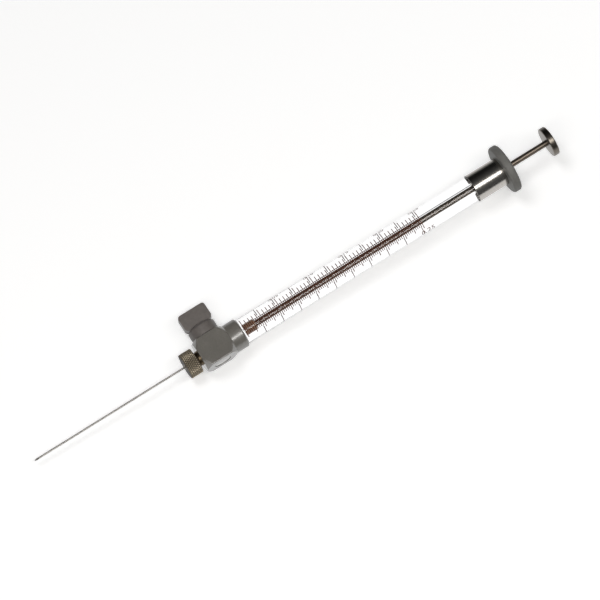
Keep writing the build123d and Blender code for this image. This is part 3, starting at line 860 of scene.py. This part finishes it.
sleeve = turned("sleeve", eased([
    (sleeve_front_x, socket_r, 0.05), (sleeve_front_x, sleeve_r, 0.15),
    (flange_front_x, sleeve_r, 0.05), (flange_front_x, spigot_r, 0),
    (spigot_rear_x, spigot_r, 0.05), (spigot_rear_x, socket_r, 0),
]), steps=192, material=polished_steel)

# Stainless steel, parted off: the sleeve's front end is left as the tool cut it, dull and dark.
parted_steel, tree, shader = new_finish("stainless steel, parted off")
place = add(tree, "ShaderNodeTexCoord").outputs["Object"]
chatter = add(tree, "ShaderNodeTexNoise", {"Vector": place, "Scale": 2.5 / mm, "Detail": 3.0})
tone = add(tree, "ShaderNodeMix", {0: chatter, 6: linear("#4f4f4d"), 7: linear("#6d6d6b")},
           data_type="RGBA")
wire(shader, {"Base Color": tone.outputs[2], "Metallic": 0.5, "Roughness": 0.55})
sleeve.data.materials.append(parted_steel)
for face in sleeve.data.polygons:
    if face.center.x < (sleeve_front_x + parted_depth) * mm and face.normal.x < -0.3:
        face.material_index = 1
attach(sleeve, "barrel")
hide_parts("flange_sleeve")

# --- Finger flange ------------------------------------------------------------------------------
# Thick round disc with rounded rims, moulded in dark grey plastic and pressed on the sleeve's
# spigot.

flange_r, flange_rear_x, flange_round, guide_hole_r = 7.5, 111.0, 0.8, 2.0

# Polypropylene, moulded: dark grey and evenly matt, with a faint orange peel from the mould.
flange_grey, tree, shader = new_finish("polypropylene, moulded")
place = add(tree, "ShaderNodeTexCoord").outputs["Object"]
peel = add(tree, "ShaderNodeTexNoise", {"Vector": place, "Scale": 0.9 / mm, "Detail": 3.0})
tone = add(tree, "ShaderNodeMix", {0: peel, 6: linear("#5a5956"), 7: linear("#6d6c69")},
           data_type="RGBA")
polish = add(tree, "ShaderNodeMapRange", {"Value": peel, "To Min": 0.46, "To Max": 0.58})
rise = add(tree, "ShaderNodeBump", {"Strength": 0.12, "Distance": 0.04 * mm, "Height": peel})
wire(shader, {
    "Base Color": tone.outputs[2], "Roughness": polish, "Normal": rise, "Specular IOR Level": 0.3,
})

flange = turned("flange", eased([
    (flange_front_x, spigot_r, 0), (flange_front_x, flange_r, flange_round),
    (flange_rear_x, flange_r, flange_round), (flange_rear_x, guide_hole_r, 0.1),
    (spigot_rear_x, guide_hole_r, 0), (spigot_rear_x, spigot_r, 0),
], steps=10), steps=192, material=flange_grey)
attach(flange, "barrel")
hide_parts("finger_flange")

# --- Plunger's guide ----------------------------------------------------------------------------
# Stepped bush turned from the valve's polymer, held behind the glass by the flange. It keeps the
# rod central, and its nose shows in the flange.

guide_front_x, guide_nose_r, guide_rear_x, guide_bore_r = 108.1, 2.0, 110.9, 0.94
guide = turned("guide_bush", eased([
    (guide_front_x, guide_bore_r, 0), (guide_front_x, glass_r, 0), (spigot_rear_x, glass_r, 0),
    (spigot_rear_x, guide_nose_r, 0), (guide_rear_x, guide_nose_r, 0.08),
    (guide_rear_x, guide_bore_r, 0.1),
]), steps=96, material=valve_grey)
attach(guide, "barrel")
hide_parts("plunger_guide")

# --- Plunger's rod ------------------------------------------------------------------------------
# Stainless rod, ground and polished, with a barbed stud turned on its front end for the tip. It
# runs in the bore and out through the guide.

rod_r, rod_front_x, button_front_x, button_socket = 0.9, 23.73, 124.0, 1.2

# Stainless steel, centreless ground: darker than the polished pieces, with fine rings. The length
# that runs in the bore is lapped duller, which keeps its film of oil.
ground_rough, lapped_rough, ring_rough = 0.36, 0.5, 0.08
ground_rod, tree, shader = new_finish("stainless steel, centreless ground")
place = add(tree, "ShaderNodeTexCoord").outputs["Object"]
along = add(tree, "ShaderNodeMapping", {"Vector": place, "Scale": Vector((7, 0.3, 0.3)) / mm})
rings = add(tree, "ShaderNodeTexNoise", {"Vector": along, "Scale": 1.0, "Detail": 3.0})
tone = add(tree, "ShaderNodeMix", {0: rings, 6: linear("#6b6259"), 7: linear("#7f756b")},
           data_type="RGBA")
apart = add(tree, "ShaderNodeSeparateXYZ", {0: place}).outputs
lapped = add(tree, "ShaderNodeMath", {0: apart["X"], 1: sleeve_front_x * mm},
             operation="LESS_THAN")
base = add(tree, "ShaderNodeMix", {0: lapped, 2: ground_rough, 3: lapped_rough})
polish = add(tree, "ShaderNodeMath", {0: rings, 1: ring_rough, 2: base}, operation="MULTIPLY_ADD")
wire(shader, {"Base Color": tone.outputs[2], "Roughness": polish, "Metallic": 1.0})

stud_front_x, stud_r, barb_r, barb_length = 21.03, 0.55, 0.75, 0.5
stud = [(stud_front_x, stud_r)]
for barb_x in (stud_front_x + barb_length, stud_front_x + 3 * barb_length):
    stud += [(barb_x, stud_r), (barb_x + barb_length, barb_r), (barb_x + barb_length, stud_r)]
rod = turned("rod", [
    (stud_front_x, 0), *stud, (rod_front_x, stud_r), (rod_front_x, rod_r),
    (button_front_x + button_socket, rod_r), (button_front_x + button_socket, 0),
], closed=False, steps=64, material=ground_rod)
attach(rod, "plunger")
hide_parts("plunger_rod")

# --- Plunger's tip ------------------------------------------------------------------------------
# Soft plug of filled fluoropolymer, turned to fit the bore and pressed over the rod's barbed
# stud.

tip_front_x, tip_r, tip_ease = 20.03, 1.155, 0.03

# Filled PTFE, turned: light brown and waxy.
brown_ptfe, tree, shader = new_finish("PTFE with bronze, turned")
place = add(tree, "ShaderNodeTexCoord").outputs["Object"]
cloud = add(tree, "ShaderNodeTexNoise", {"Vector": place, "Scale": 1.8 / mm, "Detail": 4.0})
tone = add(tree, "ShaderNodeMix", {0: cloud, 6: linear("#7d6653"), 7: linear("#9c8470")},
           data_type="RGBA")
wire(shader, {"Base Color": tone.outputs[2], "Roughness": 0.4})

tip = turned("tip", [
    (tip_front_x, 0), (tip_front_x, tip_r - tip_ease), (tip_front_x + tip_ease, tip_r),
    (rod_front_x, tip_r), (rod_front_x, stud_r), *reversed(stud), (stud_front_x, 0),
], closed=False, steps=96, material=brown_ptfe)
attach(tip, "plunger")
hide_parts("plunger_tip")

# --- Plunger's button ---------------------------------------------------------------------------
# Stainless disc for the thumb, turned with rounded rims and buffed. The rod's end is pressed into
# its socket.

button_r, button_rear_x, button_round = 4.55, 125.9, 0.4

# Stainless steel, turned and buffed: rings left by the tool under a darker polish.
buffed_steel, tree, shader = new_finish("stainless steel, turned and buffed")
place = add(tree, "ShaderNodeTexCoord").outputs["Object"]
along = add(tree, "ShaderNodeMapping", {"Vector": place, "Scale": Vector((6, 0.2, 0.2)) / mm})
rings = add(tree, "ShaderNodeTexNoise", {"Vector": along, "Scale": 1.0, "Detail": 4.0})
tone = add(tree, "ShaderNodeMix", {0: rings, 6: linear("#67615a"), 7: linear("#78726b")},
           data_type="RGBA")
polish = add(tree, "ShaderNodeMapRange", {"Value": rings, "To Min": 0.28, "To Max": 0.38})
wire(shader, {"Base Color": tone.outputs[2], "Roughness": polish, "Metallic": 1.0})

button = turned("button", eased([
    (button_front_x, rod_r, 0), (button_front_x, button_r, button_round),
    (button_rear_x, button_r, button_round), (button_rear_x, 0, 0),
    (button_front_x + button_socket, 0, 0), (button_front_x + button_socket, rod_r, 0),
], steps=8), steps=192, material=buffed_steel)
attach(button, "plunger")
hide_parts("plunger_button")
